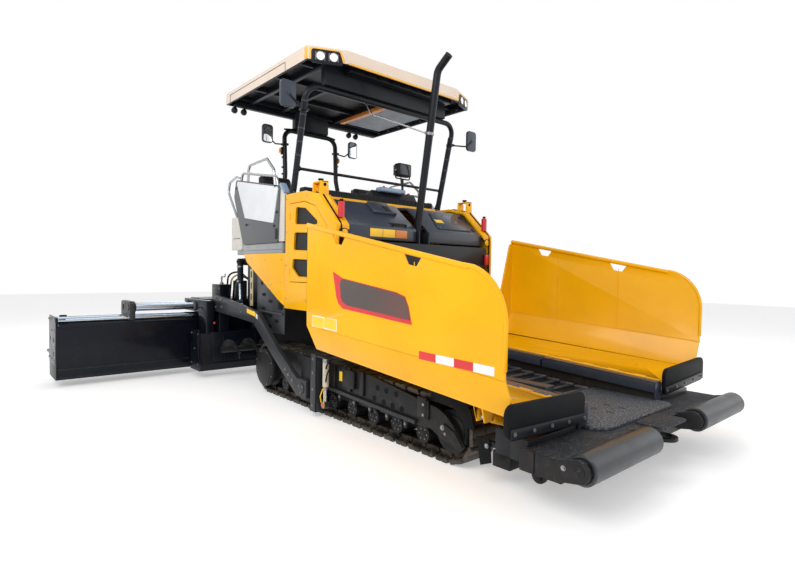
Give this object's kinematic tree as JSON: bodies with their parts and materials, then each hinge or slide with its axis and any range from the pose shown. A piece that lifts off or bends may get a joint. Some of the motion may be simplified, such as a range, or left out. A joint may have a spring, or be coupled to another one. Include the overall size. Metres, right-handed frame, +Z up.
{
  "type": "tracked asphalt paver",
  "caption": "Tracked asphalt paver with tipping hopper wings, push rollers, canopied deck, augers and a towed screed with sliding extensions.",
  "frame": {"origin": "middle of the footprint, on the ground under the tracks", "axes": "+Z up, front of the machine towards -Y, its right-hand side towards -X"},
  "size_m": [6.6, 7.24, 4.1165],
  "materials": {
    "yellow_paint": "gloss",
    "canopy_paint": "gloss",
    "dark_paint": "satin",
    "frame_paint": "satin",
    "hood_paint": "satin",
    "track_steel": "worn",
    "black_rubber": "matt",
    "roller_paint": "satin",
    "chrome": "polished",
    "white_panel": "satin",
    "seat_vinyl": "grained",
    "console_plastic": "grained",
    "tread_plate": "rough"
  },
  "bodies": {
    "tractor": {"main_frame": "frame_paint", "front_beam": "frame_paint", "front_apron": "tread_plate", "track_frame_right": "frame_paint", "track_frame_left": "frame_paint", "track_right": "track_steel", "track_left": "track_steel", "tractor_body": "dark_paint", "engine_block": "frame_paint", "hopper_bulkhead": "dark_paint", "cowl_bar": "yellow_paint", "side_cover_right": "yellow_paint", "side_cover_left": "yellow_paint", "exhaust_stack": "dark_paint", "operator_platform": "tread_plate", "side_skirt_right": "yellow_paint", "side_skirt_left": "yellow_paint", "side_wall_right": "white_panel", "side_wall_left": "white_panel", "seat_right": "seat_vinyl", "seat_left": "seat_vinyl", "control_console": "console_plastic", "front_hoop": "dark_paint", "rear_hoop": "dark_paint", "canopy": "canopy_paint", "tow_post_right": "frame_paint", "tow_post_left": "frame_paint", "auger_case": "frame_paint"},
    "screed": {"screed_frame": "dark_paint", "tow_arm_right": "frame_paint", "tow_arm_left": "frame_paint"},
    "wing_right": {"hopper_wing_right": "yellow_paint", "wing_apron_right": "black_rubber"},
    "wing_barrel_right": {"wing_cylinder_right": "yellow_paint"},
    "wing_piston_right": {"wing_rod_right": "chrome"},
    "engine_door_right": {"engine_door_right": "yellow_paint"},
    "hood_lid_right": {"hood_lid_right": "hood_paint"},
    "push_roller_right": {"push_roller_right": "roller_paint"},
    "guide_wheel_right": {"guide_wheel_right": "frame_paint"},
    "auger_right": {"auger_right": "dark_paint"},
    "lift_barrel_right": {"lift_cylinder_right": "dark_paint"},
    "lift_piston_right": {"lift_rod_right": "chrome"},
    "bridge_right": {"extension_bridge_right": "chrome"},
    "extension_right": {"extension_right": "dark_paint"},
    "wing_left": {"hopper_wing_left": "yellow_paint", "wing_apron_left": "black_rubber"},
    "wing_barrel_left": {"wing_cylinder_left": "yellow_paint"},
    "wing_piston_left": {"wing_rod_left": "chrome"},
    "engine_door_left": {"engine_door_left": "yellow_paint"},
    "hood_lid_left": {"hood_lid_left": "hood_paint"},
    "push_roller_left": {"push_roller_left": "roller_paint"},
    "guide_wheel_left": {"guide_wheel_left": "frame_paint"},
    "auger_left": {"auger_left": "dark_paint"},
    "lift_barrel_left": {"lift_cylinder_left": "dark_paint"},
    "lift_piston_left": {"lift_rod_left": "chrome"},
    "bridge_left": {"extension_bridge_left": "chrome"},
    "extension_left": {"extension_left": "dark_paint"}
  },
  "joints": [
    {"name": "screed_lift", "type": "hinge", "parent": "tractor", "child": "screed", "pos_m": [0, -0.09, 0.27], "axis": [1, 0, 0], "range_deg": [-1.2, 5]},
    {"name": "wing_fold_right", "type": "hinge", "parent": "tractor", "child": "wing_right", "pos_m": [-0.745, -2.22, 0.64664], "axis": [0, 0.9984, 0.0573], "range_deg": [0, 45]},
    {"name": "wing_ram_right", "type": "hinge", "parent": "tractor", "child": "wing_barrel_right", "pos_m": [-0.8, -2.66, 0.36], "axis": [0, 0.9984, 0.0573], "range_deg": [-0.5, 37.92]},
    {"name": "wing_stroke_right", "type": "slide", "parent": "wing_barrel_right", "child": "wing_piston_right", "axis": [-0.9487, 0, 0.3162], "range_m": [-0.002, 0.19322]},
    {"name": "engine_door_swing_right", "type": "hinge", "parent": "tractor", "child": "engine_door_right", "pos_m": [-1.27, 0.36, 1.9], "axis": [0, 0, -1], "range_deg": [0, 110]},
    {"name": "hood_lid_lift_right", "type": "hinge", "parent": "tractor", "child": "hood_lid_right", "pos_m": [-0.6, 0.28, 2.46], "axis": [-1, 0, 0], "range_deg": [0, 50]},
    {"name": "push_roller_spin_right", "type": "hinge", "parent": "tractor", "child": "push_roller_right", "pos_m": [-0.9, -3.52, 0.385], "axis": [1, 0, 0], "continuous": true},
    {"name": "guide_wheel_spin_right", "type": "hinge", "parent": "tractor", "child": "guide_wheel_right", "pos_m": [-1.08, -3.02, 0.13], "axis": [1, 0, 0], "continuous": true},
    {"name": "auger_spin_right", "type": "hinge", "parent": "tractor", "child": "auger_right", "pos_m": [-0.7, 2.08, 0.43], "axis": [1, 0, 0], "continuous": true},
    {"name": "lift_ram_right", "type": "hinge", "parent": "tractor", "child": "lift_barrel_right", "pos_m": [-1.2, 1.9, 1.7], "axis": [1, 0, 0], "range_deg": [-11.21, 2.84]},
    {"name": "lift_stroke_right", "type": "slide", "parent": "lift_barrel_right", "child": "lift_piston_right", "axis": [0, -0.0351, -0.9994], "range_m": [-0.16032, 0.04]},
    {"name": "bridge_slide_right", "type": "slide", "parent": "screed", "child": "bridge_right", "axis": [1, 0, 0], "range_m": [0, 0.655]},
    {"name": "extension_slide_right", "type": "slide", "parent": "bridge_right", "child": "extension_right", "axis": [1, 0, 0], "range_m": [-0.001, 0.656]},
    {"name": "wing_fold_left", "type": "hinge", "parent": "tractor", "child": "wing_left", "pos_m": [0.745, -2.22, 0.64664], "axis": [0, -0.9984, -0.0573], "range_deg": [0, 45]},
    {"name": "wing_ram_left", "type": "hinge", "parent": "tractor", "child": "wing_barrel_left", "pos_m": [0.8, -2.66, 0.36], "axis": [0, -0.9984, -0.0573], "range_deg": [-0.5, 37.92]},
    {"name": "wing_stroke_left", "type": "slide", "parent": "wing_barrel_left", "child": "wing_piston_left", "axis": [0.9487, 0, 0.3162], "range_m": [-0.002, 0.19322]},
    {"name": "engine_door_swing_left", "type": "hinge", "parent": "tractor", "child": "engine_door_left", "pos_m": [1.27, 0.36, 1.9], "axis": [0, 0, 1], "range_deg": [0, 110]},
    {"name": "hood_lid_lift_left", "type": "hinge", "parent": "tractor", "child": "hood_lid_left", "pos_m": [0.6, 0.28, 2.46], "axis": [-1, 0, 0], "range_deg": [0, 50]},
    {"name": "push_roller_spin_left", "type": "hinge", "parent": "tractor", "child": "push_roller_left", "pos_m": [0.9, -3.52, 0.385], "axis": [1, 0, 0], "continuous": true},
    {"name": "guide_wheel_spin_left", "type": "hinge", "parent": "tractor", "child": "guide_wheel_left", "pos_m": [1.08, -3.02, 0.13], "axis": [1, 0, 0], "continuous": true},
    {"name": "auger_spin_left", "type": "hinge", "parent": "tractor", "child": "auger_left", "pos_m": [0.7, 2.08, 0.43], "axis": [1, 0, 0], "continuous": true},
    {"name": "lift_ram_left", "type": "hinge", "parent": "tractor", "child": "lift_barrel_left", "pos_m": [1.2, 1.9, 1.7], "axis": [1, 0, 0], "range_deg": [-11.21, 2.84]},
    {"name": "lift_stroke_left", "type": "slide", "parent": "lift_barrel_left", "child": "lift_piston_left", "axis": [0, -0.0351, -0.9994], "range_m": [-0.16032, 0.04]},
    {"name": "bridge_slide_left", "type": "slide", "parent": "screed", "child": "bridge_left", "axis": [-1, 0, 0], "range_m": [0, 0.655]},
    {"name": "extension_slide_left", "type": "slide", "parent": "bridge_left", "child": "extension_left", "axis": [-1, 0, 0], "range_m": [-0.001, 0.656]}
  ],
  "couplings": [
    {"joint": "wing_ram_right", "follows": "wing_fold_right", "ratio": 0.83153},
    {"joint": "wing_stroke_right", "follows": "wing_fold_right", "m_per_rad": 0.24347},
    {"joint": "lift_ram_right", "follows": "screed_lift", "ratio": -2.2013},
    {"joint": "lift_stroke_right", "follows": "screed_lift", "m_per_rad": -1.8142},
    {"joint": "extension_slide_right", "follows": "bridge_slide_right", "ratio": 1},
    {"joint": "wing_ram_left", "follows": "wing_fold_left", "ratio": 0.83153},
    {"joint": "wing_stroke_left", "follows": "wing_fold_left", "m_per_rad": 0.24347},
    {"joint": "lift_ram_left", "follows": "screed_lift", "ratio": -2.2013},
    {"joint": "lift_stroke_left", "follows": "screed_lift", "m_per_rad": -1.8142},
    {"joint": "extension_slide_left", "follows": "bridge_slide_left", "ratio": 1}
  ]
}
